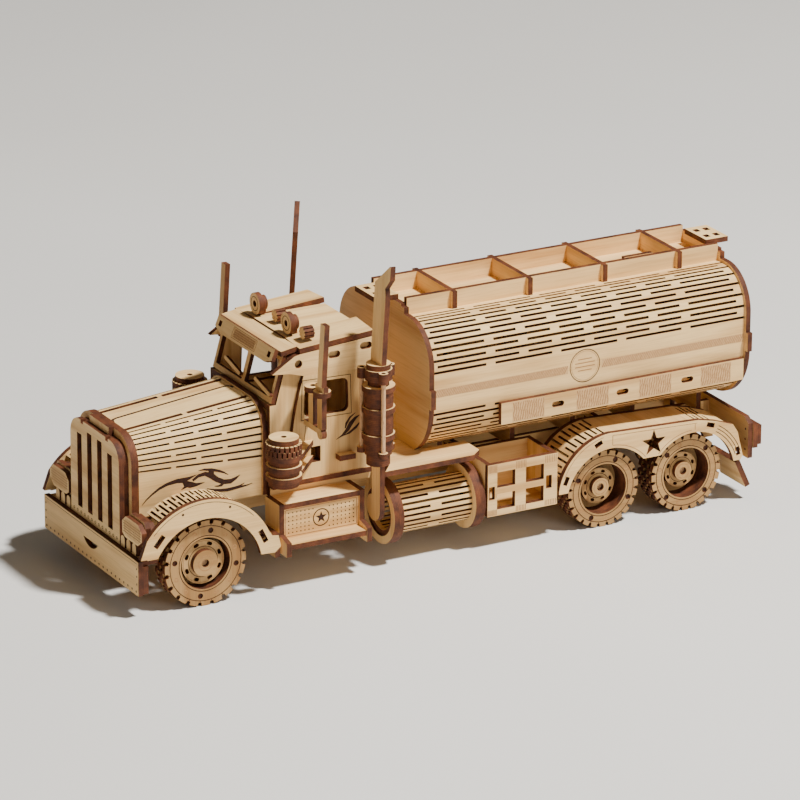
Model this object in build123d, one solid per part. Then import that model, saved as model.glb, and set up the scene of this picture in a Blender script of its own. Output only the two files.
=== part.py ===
from build123d import *
import os
from math import cos, pi, radians, sin

# A laser-cut plywood 3-D jigsaw: a long-nosed tanker truck that stands on six turning wheels.
# Every piece is drawn in truck stations, in millimetres: X is the distance behind the front axle,
# Y is the distance to the right of the centre plane, and Z is the height above the table.
# The finished nodes are moved once, at the end, so that the origin is under the middle of the truck.

# ---- Driving dimensions ----
PLY = 2.5                      # thickness of the plywood sheet
LENGTH = 325.6                 # bumper face to the edge of the rear tank platform
FRONT_OVERHANG = 33.6          # bumper face to the front axle
HALF_WIDTH = 50.2              # outer faces of the mudguard side plates

FRONT_TYRE_R = 20.1
REAR_TYRE_R = 18.5
FRONT_AXLE_X = 0.0
REAR_AXLES_X = (204.0, 248.4)
FRONT_TYRE_OUT = 46.8          # outer face of the tyre from the centre plane
REAR_TYRE_OUT = 47.2
FRONT_LAYERS = 4               # plywood rings in a front tyre
REAR_LAYERS = 5                # plywood rings in a rear tyre
TOOTH_H = 1.6                  # height of the tread teeth
FRONT_TEETH = 20
REAR_TEETH = 24
RIM_R = 12.1                   # bore of the tyre rings
AXLE_R = 1.8                   # beech dowel
AXLE_CLEAR = 0.07              # radial clearance of a dowel in the chassis rails
DOWEL_R = 1.3                  # thin dowels
PIN_SUNK = 0.6                 # how far a rim pin stops short of the tyre's outer face

RAIL_IN = 11.5                 # inner face of a chassis rail
RAIL_Z = (28.0, 38.0)
BUMPER_HALF = 47.8
BUMPER_Z = (10.9, 27.0)
GRILLE_X = -31.1
GRILLE_HALF = 24.6
GRILLE_TOP = 73.4
HOOD_X = (-22.5, 39.0)
HOOD_HALF = 26.2
HOOD_TOP = (75.5, 81.0)        # at the grille end and at the windscreen end
HOOD_CORNER = 13.0
HOOD_SIDE_Z = 38.6
CAB_X = (41.5, 92.5)
CAB_HALF = 29.0                # outer face of the cab side boards
CAB_FLOOR_Z = 38.0
CAB_BASE_Z = 44.6              # top of the cab's base board
CAB_BACK_TOP = 106.2
TANK_X = (115.0, 284.5)        # outer faces of the two tank end plates
TANK_HALF = 42.6
TANK_Z = (44.0, 109.0)
TANK_TOP_R = 20.0
TANK_LOW_R = 27.0
TANK_LIP = 1.5                 # how far an end plate stands proud of the tank skin
WALK_Y = 15.5                  # middle of a walkway board
WALK_TOP = 115.6
WALK_CROSS_X = (141.2, 180.6, 220.2, 260.1)
PLATFORM_HALF = 9.5


# ---- Outlines and boards ----
def poly(*points):
    """Face inside a closed run of straight lines."""
    return make_face(Polyline(*points, close=True))


def rect(a0, a1, b0, b1):
    """Rectangle from its two ranges."""
    return Pos((a0 + a1) / 2, (b0 + b1) / 2) * Rectangle(a1 - a0, b1 - b0)


def disc(a, b, radius):
    return Pos(a, b) * Circle(radius)


def slot(a, b, length, height, turn=0.0):
    """Rectangular cut-out about a point, turned by some degrees."""
    return Pos(a, b) * Rot(0, 0, turn) * Rectangle(length, height)


def long_board(outline, y_low, thick=PLY):
    """Board standing lengthwise: an X-Z outline that grows towards +Y."""
    return extrude(Plane.XZ.offset(-y_low) * outline, -thick)


def cross_board(outline, x_low, thick=PLY):
    """Board standing across the truck: a Y-Z outline that grows towards +X."""
    return extrude(Plane.YZ.offset(x_low) * outline, thick)


def flat_board(outline, z_low, thick=PLY):
    """Board lying flat: an X-Y outline that grows upwards."""
    return extrude(Plane.XY.offset(z_low) * outline, thick)


def block(x0, x1, y0, y1, z0, z1):
    return flat_board(rect(x0, x1, y0, y1), z0, z1 - z0)


def other_side(shape):
    """The same piece on the other side of the truck."""
    return mirror(shape, Plane.XZ)


def pair(shape):
    """A left piece and its mirrored right piece."""
    return [shape, other_side(shape)]


def upright(x, y, z0, z1, radius):
    """Vertical round piece."""
    return Pos(x, y, (z0 + z1) / 2) * Cylinder(radius, z1 - z0)


def annulus(outer, inner):
    return Circle(outer) - Circle(inner)


def star(a, b, radius):
    """Five-pointed star, one point up."""
    tips = []
    for i in range(10):
        reach = radius if i % 2 == 0 else radius * 0.4
        angle = radians(90 + 36 * i)
        tips.append((a + reach * cos(angle), b + reach * sin(angle)))
    return poly(*tips)


# ---- Wheels ----
def toothed_ring(radius, teeth, bore):
    """Tyre ring with square tread teeth."""
    ring = Circle(radius - TOOTH_H) - Circle(bore)
    width = 2 * pi * radius / teeth * 0.66
    for i in range(teeth):
        ring += Rot(0, 0, 360 * i / teeth) * Pos(radius - TOOTH_H, 0) * Rectangle(2 * TOOTH_H, width)
    return ring & Circle(radius)


def tyre(axle_x, radius, outside, layers, teeth):
    """Left tyre: plywood rings side by side, each turned half a tooth against the last."""
    rings = []
    for i in range(layers):
        ring = Rot(0, 0, 180 / teeth * (i % 2)) * toothed_ring(radius, teeth, RIM_R)
        board = long_board(Pos(axle_x, radius) * ring, -outside + i * PLY)
        rings.append(board)
    return rings


def hub(axle_x, radius, outside, layers, disc_r, cap_r, recess):
    """Left hub: a cap and a pierced disc outside, and a boss that joins them to a deep-set web."""
    centre = Pos(axle_x, radius)
    depth = -outside + recess * PLY
    web_y = -outside + (layers - 1) * PLY
    face = Circle(disc_r)
    for i in range(8):
        hole = SlotOverall(disc_r * 0.26, disc_r * 0.16)
        face -= Rot(0, 0, 45 * i + 22.5) * Pos(disc_r * 0.83, 0) * Rot(0, 0, 90) * hole
    cap = Circle(cap_r)
    pieces = [
        long_board(centre * cap, depth - PLY),
        long_board(centre * face, depth),
        long_board(centre * cap, depth + PLY, web_y - depth - PLY),
        long_board(centre * Circle(RIM_R + 0.6), web_y),
    ]
    bore = Pos(axle_x, 0, radius) * Rot(90, 0, 0) * Cylinder(AXLE_R, 3 * outside)
    return [piece - bore for piece in pieces]


def rim_pins(axle_x, radius, outside, layers, reach, turn, sunk):
    """Four thin pins, a quarter turn apart, that hold the left tyre's rings together."""
    pins = []
    for i in range(4):
        angle = radians(turn + 90 * i)
        circle = disc(axle_x + reach * cos(angle), radius + reach * sin(angle), DOWEL_R)
        pins.append(long_board(circle, -outside + sunk, layers * PLY - sunk))
    return pins


def axle(axle_x, radius, half_length):
    return Pos(axle_x, 0, radius) * Rot(90, 0, 0) * Cylinder(AXLE_R, 2 * half_length)


def wheelset(axle_x, radius, outside, layers, teeth, disc_r, cap_r, recess, pin_reach, pin_turn):
    """Dowel, tyre rings and hub pieces of one axle, both sides; the web has its seat in the rings."""
    hubs = hub(axle_x, radius, outside, layers, disc_r, cap_r, recess)
    web = hubs[3]
    pin_place = (axle_x, radius, outside, layers, pin_reach, pin_turn)
    holes = rim_pins(*pin_place, 0)
    pins = rim_pins(*pin_place, PIN_SUNK)
    rings = [ring - web - holes for ring in tyre(axle_x, radius, outside, layers, teeth)]
    all_rings = rings + [other_side(ring) for ring in rings]
    all_hubs = hubs + pins
    all_hubs += [other_side(piece) for piece in hubs + pins]
    dowel = axle(axle_x, radius, outside - recess * PLY + 0.4)
    return dowel, all_rings, all_hubs


# ---- Chassis ----
def chassis_rail():
    """Left rail: a long board with a lobe down to each axle."""
    outline = rect(-22.4, 278, *RAIL_Z)
    for x, radius in [(FRONT_AXLE_X, FRONT_TYRE_R)] + [(x, REAR_TYRE_R) for x in REAR_AXLES_X]:
        outline += rect(x - 6, x + 6, radius, RAIL_Z[0] + 1) + disc(x, radius, 6)
        outline -= disc(x, radius, AXLE_R + AXLE_CLEAR)
    return long_board(outline, -RAIL_IN - PLY)


def crossmembers():
    """Boards between the two rails."""
    outline = rect(-RAIL_IN, RAIL_IN, RAIL_Z[0], RAIL_Z[1] - 2) - rect(-6, 6, 30, 33.5)
    return [cross_board(outline, x) for x in (-20.0, 22.0, 95.0, 150.0, 225.0, 272.0)]


def tank_cradles():
    """Saddle boards that carry the tank on the rails."""
    outline = rect(-23.4, 23.4, RAIL_Z[1], 49.5) - tank_outline(TANK_LIP)
    return [cross_board(outline, x) for x in (130.0, 168.0, 200.0, 232.0, 268.0)]


# ---- Nose ----
def bumper_board():
    """Front board of the bumper with a curved tow slot."""
    smile = disc(0, 27.0, 9.6) & rect(-7.4, 7.4, 17.0, 20.8)
    front = cross_board(rect(-BUMPER_HALF, BUMPER_HALF, *BUMPER_Z) - smile, -FRONT_OVERHANG)
    backing = rect(-BUMPER_HALF, BUMPER_HALF, BUMPER_Z[0] + 0.6, BUMPER_Z[1] - PLY)
    backing -= rect(-11, 11, 15.5, 22)
    return [front, cross_board(backing, -FRONT_OVERHANG + PLY)]


def bumper_shelf():
    """Flat board that ties the bumper, the grille and the rails together."""
    x_front = -FRONT_OVERHANG + PLY
    outline = rect(x_front, -23.5, -46.5, 46.5) + rect(-24, -8, -18, 18)
    return flat_board(outline, BUMPER_Z[1] - PLY)


def bumper_combs():
    """Three round-topped fingers on each side, under a head lamp."""
    pieces = []
    for y in (-27.6, -33.2, -38.8):
        finger = rect(y - 1.9, y + 1.9, BUMPER_Z[1], 30.6) + disc(y, 30.6, 1.9)
        pieces += pair(cross_board(finger, GRILLE_X))
    return pieces


def grille_outline(half, top, corner):
    outline = rect(-half, half, BUMPER_Z[1], top - corner) + rect(-half + corner, half - corner, BUMPER_Z[1], top)
    return outline + disc(-half + corner, top - corner, corner) + disc(half - corner, top - corner, corner)


def grille_face():
    """Radiator face with four upright slots and two notches in its top edge."""
    outline = grille_outline(GRILLE_HALF, GRILLE_TOP, 9)
    for y in (-15.3, -5.1, 5.1, 15.3):
        inner = abs(y) < 10
        outline -= rect(y - 2.3, y + 2.3, 31.5, 69.5 if inner else 66.5)
    for y in (-12.5, 12.5):
        outline -= rect(y - 1.3, y + 1.3, GRILLE_TOP - 1.6, GRILLE_TOP + 1)
    return cross_board(outline, GRILLE_X)


def grille_frame():
    """Second layer behind the radiator face, with a raised name bar on top."""
    outline = grille_outline(GRILLE_HALF - 0.6, GRILLE_TOP - 0.6, 9) + rect(-9.6, 9.6, 60, GRILLE_TOP + 3.4)
    outline -= rect(-19.5, 19.5, 29.5, 69.5)
    return cross_board(outline, GRILLE_X + PLY)


def head_lamp():
    """Left lamp: an eight-sided lens board, its body and the stalk that holds it."""
    lens = poly(
        (-27.2, 34.2), (-27.2, 39.6), (-30.8, 42.6), (-43.0, 42.6),
        (-46.6, 39.4), (-46.6, 35.6), (-42.6, 32.5), (-30.0, 32.5),
    )
    body = poly(
        (-28.0, 34.2), (-28.0, 40.0), (-31.0, 43.6), (-43.6, 43.6),
        (-45.4, 41.0), (-45.4, 35.6), (-42.0, 33.5), (-30.0, 33.5),
    )
    stalk = lens + rect(-38.5, -34.5, BUMPER_Z[1], 41)
    return [
        cross_board(lens, GRILLE_X),
        cross_board(body, GRILLE_X + PLY),
        cross_board(stalk, GRILLE_X + 2 * PLY, PLY),
    ]


def hood_profile(inset):
    """Arch across the hood, open at the bottom, at its windscreen end."""
    half = HOOD_HALF - inset
    top = HOOD_TOP[1] - inset
    corner = HOOD_CORNER - inset
    outline = rect(-half, half, 20, top - corner) + rect(-half + corner, half - corner, 20, top)
    return outline + disc(-half + corner, top - corner, corner) + disc(half - corner, top - corner, corner)


def hood_solid(inset, x0, x1):
    """Hood-shaped solid that rises towards the windscreen."""
    rise = (HOOD_TOP[1] - HOOD_TOP[0]) / (HOOD_X[1] - HOOD_X[0])
    start = Plane.YZ.offset(x0) * Pos(0, (x0 - HOOD_X[1]) * rise) * hood_profile(inset)
    return extrude(start, amount=x1 - x0, dir=Vector(1, 0, rise).normalized())


def hood_cover():
    """One bent sheet: top, two rounded corners and two sides."""
    outer = hood_solid(0, HOOD_X[0] - 2, HOOD_X[1] + 6)
    inner = hood_solid(PLY, HOOD_X[0] - 4, HOOD_X[1] + 8)
    sheet = outer - inner
    sheet &= block(HOOD_X[0], HOOD_X[1], -60, 60, HOOD_SIDE_Z, 100)
    return sheet


def hood_formers():
    """Nose former behind the grille, and the smaller formers that hold the bent sheet up."""
    nose = grille_outline(HOOD_HALF + 0.6, 76.2, HOOD_CORNER) - rect(-17, 17, 29.5, 66)
    pieces = [cross_board(nose, GRILLE_X + 2 * PLY, HOOD_X[0] - GRILLE_X - 2 * PLY)]
    for x in (-8.0, 12.0, 30.0):
        former = hood_solid(PLY + 0.1, x - 10, x + 12) & block(x, x + PLY, -60, 60, RAIL_Z[1], 100)
        former -= cross_board(rect(-16, 16, RAIL_Z[1] - 1, 66), x - 1, PLY + 2)
        pieces.append(former)
    x = HOOD_X[1]
    wall = hood_solid(-0.9, x - 4, x + 6) & block(x, x + PLY, -60, 60, HOOD_SIDE_Z, 100)
    pieces.append(wall - block(x - 1, x + 4, -18, 18, 42, 72))
    return pieces


# ---- Front mudguards ----
GUARD_OUT_C = (-1.9, 16.5)
GUARD_OUT_R = 35.0
GUARD_IN_C = (-0.8, 15.1)
GUARD_IN_R = 27.4
GUARD_TOP_Y = (-HALF_WIDTH + PLY, -34.0)   # outer and inner edges of the kerf-bent top


def front_guard_outline():
    """Arch over the front wheel with pointed ends."""
    arch = disc(*GUARD_OUT_C, GUARD_OUT_R) & rect(-30.2, 40, 28, 60)
    toe = poly((-33.4, 28.5), (-30.2, 37.2), (-20, 34), (-24.8, 28.2))
    heel = poly(
        (30.4, 30.4), (31.5, 28.6), (34.6, 28.2), (35.9, 22.8), (33.0, 20.3), (26.0, 20.6), (22.0, 30.0),
    )
    return arch + toe + heel - disc(*GUARD_IN_C, GUARD_IN_R)


def front_guard_side():
    """Outer side plate of the left front mudguard, with two joint slots."""
    outline = front_guard_outline()
    outline -= slot(-24.2, 35.8, 6.4, PLY, 50) + slot(27.0, 29.2, 6.6, PLY, -64)
    return long_board(outline, -HALF_WIDTH)


def front_guard_inner():
    """Inner plate under the edge of the left front mudguard, and its bracket on the hood side."""
    band = disc(*GUARD_OUT_C, GUARD_OUT_R - 0.9 - PLY) - disc(*GUARD_IN_C, GUARD_IN_R + 0.6)
    band &= poly((-22.4, 30), (-22.4, 60), (33, 60), (33, 29), (20, 27))
    bracket = flat_board(rect(-6, 6, GUARD_TOP_Y[1], -HOOD_HALF), 43.6)
    return [long_board(band, GUARD_TOP_Y[1] - PLY), bracket]


def front_guard_top():
    """Kerf-bent sheet that runs between the two plates of the left front mudguard."""
    strip = disc(*GUARD_OUT_C, GUARD_OUT_R - 0.9) - disc(*GUARD_OUT_C, GUARD_OUT_R - 0.9 - PLY)
    strip &= poly((-22.4, 30), (40, 27.5), (40, 60), (-22.4, 60))
    return long_board(strip, GUARD_TOP_Y[0], GUARD_TOP_Y[1] - GUARD_TOP_Y[0])


def front_mudflap():
    """Board behind the left front wheel."""
    outline = rect(-46.5, -30, 16, 27)
    return cross_board(outline, 34.9)


# ---- Cab ----
def cab_floor():
    """Board on the chassis rails, and the base board above it that stands out under the doors."""
    inside = CAB_HALF - PLY
    outside = CAB_HALF + PLY + 0.4
    low = flat_board(rect(*CAB_X, -inside, inside), CAB_FLOOR_Z)
    base = flat_board(rect(*CAB_X, -outside, outside), CAB_BASE_Z - PLY)
    return [low, base]


def cab_sill():
    """Board between the left edges of the cab's floor and base."""
    return long_board(rect(*CAB_X, CAB_FLOOR_Z, CAB_BASE_Z - PLY), -CAB_HALF)


WINDOW = [(57.2, 73.8), (57.8, 89.9), (79.4, 89.0), (79.9, 73.2)]


def cab_side():
    """Inner left side board of the cab with its raked front post and window."""
    outline = poly(
        (41.5, CAB_BASE_Z), (41.5, 81.0), (44.6, 81.0), (50.4, 102.0), (55.2, 103.9),
        (92.5, 106.4), (92.5, CAB_BASE_Z),
    )
    opening = poly((55.0, 71.5), (55.5, 89.8), (58.0, 91.2), (78.0, 91.2), (81.4, 88.0), (81.4, 71.5))
    hole = rect(60.8, 65.7, 51.6, 59.0)
    return long_board(outline - opening - hole, -CAB_HALF)


def door():
    """Outer left board: a door skin with a curved leading edge, a window and a foot hole."""
    arc = ThreePointArc((50.4, CAB_BASE_Z), (52.6, 74.0), (57.2, 93.4))
    edge = Polyline((57.2, 93.4), (92.5, 91.8), (92.5, CAB_BASE_Z), (50.4, CAB_BASE_Z))
    outline = make_face(arc + edge)
    window = poly(*WINDOW)
    outline -= fillet(window.vertices(), 2.8)
    outline -= rect(60.8, 65.7, 51.6, 59.0)
    return long_board(outline, -CAB_HALF - PLY)


def door_handle():
    """Flat tab that stands out of the left door."""
    return block(73.4, 81.4, -CAB_HALF - PLY - 4.2, -CAB_HALF - PLY, 51.4, 51.4 + PLY)


def eave():
    """Upper left side board with a beak over the windscreen, a round vent and two joint slots."""
    outline = poly(
        (41.5, 96.4), (43.0, 97.4), (52.7, 103.3), (55.2, 103.8), (92.5, 106.5),
        (92.5, 91.8), (57.2, 93.4), (50.5, 95.4),
    )
    outline -= disc(54.6, 99.4, 1.9)
    for x, z in ((72.6, 101.0), (88.6, 102.6)):
        outline -= Pos(x, z) * SlotOverall(6.0, 3.2)
    return long_board(outline, -CAB_HALF - PLY)


def cab_back():
    """Rear wall of the cab with raised shoulders under the roof's side boards."""
    half = CAB_HALF - PLY
    outline = rect(-half, half, CAB_BASE_Z, ROOF_TOP - PLY)
    for side in ((-half, -ROOF_SEAM - 1), (ROOF_SEAM + 1, half)):
        outline += rect(*side, 100, CAB_BACK_TOP)
    return cross_board(outline, CAB_X[1] - PLY)


SCREEN_LEAN = 15.5             # lean of the windscreen in degrees
SCREEN_FOOT = (42.4, 81.6)
WIPERS = ((-19.8, 5.4), (9.5, 6.2))    # middle of each wiper: across, and up the glass


def screen_plane():
    """Plane of the windscreen: local x runs across the cab, local y runs up the glass."""
    lean = radians(SCREEN_LEAN)
    return Plane(
        origin=(SCREEN_FOOT[0], 0, SCREEN_FOOT[1]),
        x_dir=(0, 1, 0),
        z_dir=(cos(lean), 0, -sin(lean)),
    )


def screen_frame():
    """Windscreen frame: sill, head, two posts and a middle post."""
    outline = rect(-28.4, 28.4, 0, 22.2)
    for y in (-13.9, 13.9):
        outline -= rect(y - 12.4, y + 12.4, 2.4, 20.2)
    cowl = flat_board(rect(CAB_X[0], 46.0, -CAB_HALF + PLY, CAB_HALF - PLY), 78.5)
    return [extrude(screen_plane() * outline, 2.0), cowl]


def wiper(y, height):
    """Thin bar in front of the windscreen, with its left end lower."""
    bar = screen_plane() * (Pos(y, height) * Rot(0, 0, 10.8) * SlotOverall(17.0, 1.7))
    return extrude(bar, -1.6)


def sun_visor():
    """Board under the front edge of the roof with a square hole at each end."""
    outline = poly(
        (-27.3, 3.6), (-27.3, 8.9), (27.3, 8.9), (27.3, 3.6),
        (22, 1.6), (-22, 1.6),
    )
    for y in (-23.5, 23.5):
        outline -= slot(y, 5.6, 2.6, 2.6)
    tilt = radians(22)
    plane = Plane(origin=(43.7, 0, 97.4), x_dir=(0, 1, 0), z_dir=(cos(tilt), 0, -sin(tilt)))
    return extrude(plane * outline, -2.0)


ROOF_X = (55.2, 92.5)
ROOF_TOP = 107.7               # top of the roof's middle board
ROOF_SEAM = 15.2
ROOF_HALF = 31.5
ROOF_RISE = 0.075              # rise of a side board per millimetre towards the back
ROOF_FALL = 0.074              # and its fall per millimetre outwards


def roof_side():
    """Left roof board: it climbs towards the back and falls outwards."""
    plane = Plane(
        origin=(ROOF_X[0], -ROOF_SEAM, ROOF_TOP),
        x_dir=(1, 0, ROOF_RISE),
        z_dir=(-ROOF_RISE, -ROOF_FALL, 1),
    )
    outline = rect(0, ROOF_X[1] - ROOF_X[0], ROOF_SEAM - ROOF_HALF, 0)
    return extrude(plane * outline, -PLY)


def roof_boards():
    """Roof: a flat middle board, two tilted side boards and the sloping lip over the windscreen."""
    x0, x1 = ROOF_X
    half = ROOF_SEAM - 0.3
    lip = poly((47.2, 103.2), (x0, 104.5), (x0, 106.9), (47.2, 105.6))
    return [
        flat_board(rect(x0, x1, -half, half), ROOF_TOP - PLY),
        long_board(lip, -CAB_HALF, 2 * CAB_HALF),
    ] + pair(roof_side())


def roof_light(y):
    """Round lamp on the roof: a bored disc and a smaller back board with a foot."""
    z = ROOF_TOP + 5.5
    face = cross_board(disc(y, z, 5.0) - disc(y, z, 1.5), 57.0)
    back = disc(y, z, 3.4) + rect(y - 1.5, y + 1.5, z - 5.0, z)
    return [face, cross_board(back, 57.0 + PLY)]


def roof_horn(y):
    """Small toothed roller lying along the truck."""
    ring = toothed_ring(2.9, 10, 0.8)
    z = ROOF_TOP + 3.7
    return cross_board(Pos(y, z) * ring, 59.5, 2 * PLY)


# ---- Things beside the cab ----
def air_cleaner():
    """Left air cleaner: a stack of discs and toothed rings on two arms from the cab."""
    x, y = 39.6, -46.0
    pieces = []
    radii = [6.9, 8.1, 7.0, 8.1, 7.0, 8.1, None, None, 6.7]
    for k, radius in enumerate(radii):
        outline = toothed_ring(8.1, 22, 1.0) if radius is None else annulus(radius, 1.3)
        turn = 8 if k == 7 else 0
        pieces.append(Pos(x, y) * Rot(0, 0, turn) * flat_board(outline, 50.0 + k * PLY))
    for k in (1, 4):
        arm = poly((x, y), (x + 9, y), (62.0, -CAB_HALF - PLY), (54.5, -CAB_HALF - PLY))
        arm -= disc(x, y, radii[k])
        pieces.append(flat_board(arm, 50.0 + k * PLY))
    return pieces


def mirror_set():
    """Left mirror: a tall raked post, two washers, two glass boards and an arm."""
    lean = Rot(0, 3.4, 0)
    post = Pos(57.6, 0, 93.5) * lean * block(-1.25, 1.25, -49.9, -45.8, 0, 28.8)
    washers = [Pos(58.6, y) * flat_board(annulus(4.0, 1.4), 88.4) for y in (-46.2, -37.9)]
    glass = [block(57.35, 59.85, y - 2.1, y + 2.1, 73.0, 88.4) for y in (-46.2, -37.9)]
    arm = block(57.35, 59.85, -46.2, -CAB_HALF - PLY, 70.4, 73.0)
    foot = cross_board(disc(-46.2, 70.6, 2.4), 57.35) - arm
    bracket = block(57.35, 59.85, -50.0, -42.2, 90.9, 93.4) - post
    return [post, arm, foot, bracket] + washers + glass


def step_box():
    """Left steps: two stepped end boards, two treads and the panel between them."""
    end = poly((-29.0, 38.8), (-42.6, 38.8), (-42.6, 24.6), (-49.8, 22.8), (-49.8, 16.4), (-36, 16.4), (-29, 26))
    ends = [cross_board(end, x) for x in (39.0, 79.6)]
    low = block(41.5, 79.6, -49.4, -36.0, 19.4, 21.9)
    high = block(41.5, 79.6, -42.6, -29.5, 36.3, 38.8)
    panel = block(41.5, 79.6, -41.6, -39.1, 21.9, 36.3)
    return ends + [low, high, panel]


EXHAUST_AT = (88.0, -44.4)
EXHAUST_ROD_R = 1.05
EXHAUST_ROD_REACH = 7.6
EXHAUST_ROD_TURNS = (18.5, 138.5, 258.5)
STACK_LEAN = 3.3


def exhaust_spots():
    """Centres of the three rods about the exhaust's own centre."""
    spots = []
    for turn in EXHAUST_ROD_TURNS:
        angle = radians(turn)
        spots.append((EXHAUST_ROD_REACH * cos(angle), EXHAUST_ROD_REACH * sin(angle)))
    return spots


def exhaust_stack(turn, shift):
    """Left stack board: it leans back, and its tip sweeps outwards."""
    outline = poly(
        (5.1, 98.6), (5.1, 134.8), (-7.4, 145.4), (-8.4, 145.4), (-8.4, 139.2),
        (-4.4, 134.4), (-5.1, 131.0), (-5.1, 98.6),
    )
    board = Pos(0, 0, -98.6) * cross_board(outline, -PLY / 2)
    board = Rot(0, 0, turn) * Rot(0, STACK_LEAN, 0) * board
    board = Pos(EXHAUST_AT[0] + shift, EXHAUST_AT[1], 98.6) * board
    return board & block(0, 200, -100, 100, 98.6, 160)


def exhaust(turn, shift):
    """Left exhaust: a stack board, lobed collars, a body of discs and three rods."""
    spin = Pos(*EXHAUST_AT)
    lobes = Circle(6.2)
    grooves = []
    for x, y in exhaust_spots():
        lobes += disc(x, y, 2.1)
        grooves.append(disc(x, y, EXHAUST_ROD_R))
    pieces = [exhaust_stack(turn, shift)]
    for z in (93.6, 91.1, 55.9):
        pieces.append(spin * flat_board(lobes - grooves, z))
    pieces.append(spin * flat_board(Circle(5.5), 96.1))
    pieces.append(spin * upright(0, 0, 88.4, 91.1, 4.8))
    for i in range(12):
        radius = 7.5 if i in (2, 7, 11) else 6.7
        pieces.append(spin * flat_board(Circle(radius) - grooves, 58.4 + i * PLY))
    for z in (50.9, 53.4):
        pieces.append(spin * flat_board(Circle(5.4), z))
    for x, y in exhaust_spots():
        pieces.append(spin * upright(x, y, 55.9, 95.1, EXHAUST_ROD_R - 0.02))
    return pieces


def down_pipe():
    """J-shaped pipe board under the left exhaust, with its round end turned in to the chassis."""
    outline = rect(-48.3, -40.7, 29.2, 50.9) + disc(-42.1, 29.2, 6.2)
    return cross_board(outline, EXHAUST_AT[0] - PLY / 2)


# ---- Fuel tank and tool box ----
FUEL_Y = -34.2
FUEL_Z = 23.2
FUEL_R = 15.0
FUEL_X = (94.0, 141.0)


def fuel_rings():
    """Two pairs of big rings that hold the left fuel tank."""
    outline = Pos(FUEL_Y, FUEL_Z) * annulus(FUEL_R, FUEL_R - 3.6)
    strap = rect(FUEL_Y + 1.0, FUEL_Y + 12.0, FUEL_Z + 11.0, 45.0) & rect(-60, -RAIL_IN - PLY, 0, 45.0)
    plate = outline + (strap - Pos(FUEL_Y, FUEL_Z) * Circle(FUEL_R - 1))
    ring_x = [FUEL_X[0], FUEL_X[0] + PLY, FUEL_X[1] - 2 * PLY, FUEL_X[1] - PLY]
    return [cross_board(plate, x) for x in ring_x]


def fuel_wrap():
    """Kerf-bent barrel of the left fuel tank, with two end discs."""
    x0, x1 = FUEL_X
    barrel = Pos(FUEL_Y, FUEL_Z) * annulus(FUEL_R - 3.6 - 0.05, FUEL_R - 3.6 - PLY)
    return cross_board(barrel, x0 + 1.0, x1 - x0 - 2.0)


def fuel_deck():
    """Flat board over the left fuel tank."""
    outline = poly(
        (95.2, -14.0), (95.2, -41.5), (89.8, -47.8), (135.4, -47.8), (140.8, -43.0),
        (140.8, -29.6), (114.8, -29.6), (114.8, -14.0),
    )
    return flat_board(outline, 45.0)


BOX_X = (142.0, 178.4)
BOX_Y = (-49.0, -23.5)
BOX_Z = (16.4, 41.4)


def tool_box():
    """Left open box: a panel with four square windows, a back, two ends and a floor."""
    x0, x1 = BOX_X
    z0, z1 = BOX_Z
    front = rect(x0, x1, z0, z1)
    for x in (151.6, 166.6):
        for z in (23.1, 33.6):
            front -= slot(x, z, 9.4, 7.4)
    ends = rect(BOX_Y[0] + PLY, BOX_Y[1] - PLY, z0, z1)
    tab_low = slot(144.2, 27.6, 3.0, 6.2)
    tab_high = slot(174.0, 28.1, 3.0, 6.2)
    front -= tab_low + tab_high
    return [
        long_board(front, BOX_Y[0]),
        long_board(rect(x0, x1, z0, z1), BOX_Y[1] - PLY),
        cross_board(ends, x0),
        cross_board(ends, x1 - PLY),
        flat_board(rect(x0 + PLY, x1 - PLY, BOX_Y[0] + PLY, BOX_Y[1] - PLY), z0),
    ]


# ---- Rear mudguards ----
ARCH_C = ((206.0, 16.0), (250.0, 16.0))
ARCH_R = 22.9


def rear_guard_shape():
    """Solid outline over both rear wheels, before the arches are cut."""
    front = disc(206.5, 18.5, 28.0) & rect(170, 206, 21.0, 60)
    front = front & poly((178.8, 21.0), (178.8, 26), (184.6, 38), (206, 60), (230, 60), (230, 21))
    rest = poly((205.9, 21), (205.9, 46.4), (252.5, 44.6), (262.0, 42.5), (271.6, 39.2), (274.2, 35.0), (277.3, 23.0), (276, 21))
    return front + rest


def rear_guard_outline():
    outline = rear_guard_shape()
    for centre in ARCH_C:
        outline -= disc(*centre, ARCH_R)
    return outline - rect(206, 250, 10, 30.8)


def rear_guard_side():
    """Outer plate over the left rear wheels: a star and four joint slots."""
    outline = rear_guard_outline() - star(228.8, 37.6, 6.6)
    for x, z, turn in ((199.4, 42.0, 27), (182.6, 27.0, 66), (259.4, 41.0, -18), (274.4, 25.6, -76)):
        outline -= slot(x, z, 4.2, 2.2, turn)
    return long_board(outline, -HALF_WIDTH)


def rear_guard_inner():
    """Inner plate of the left rear mudguard."""
    outline = (rear_guard_outline() & rect(170, 300, 25, 60)) & offset(rear_guard_shape(), -0.9)
    return long_board(outline, -26.5)


def rear_guard_top():
    """Bent sheet that covers the left rear wheels."""
    shape = rear_guard_shape()
    strip = offset(shape, -0.9) - offset(shape, -0.9 - PLY)
    strip = strip & rect(170, 273.0, 28, 60)
    return long_board(strip, -HALF_WIDTH + PLY, HALF_WIDTH - PLY - 26.5)


def tail_board():
    """Board across the back of the truck."""
    outline = poly(
        (-48.6, 20.2), (-48.6, 37.2), (-45, 39.8), (45, 39.8), (48.6, 37.2), (48.6, 20.2),
        (30, 20.2), (26, 26), (-26, 26), (-30, 20.2),
    )
    return cross_board(outline, 281.0)


def tail_links():
    """Short boards that carry the tail board on the rails."""
    return pair(block(278.0, 281.0, -RAIL_IN - PLY, -RAIL_IN, RAIL_Z[0], RAIL_Z[1]))


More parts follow.
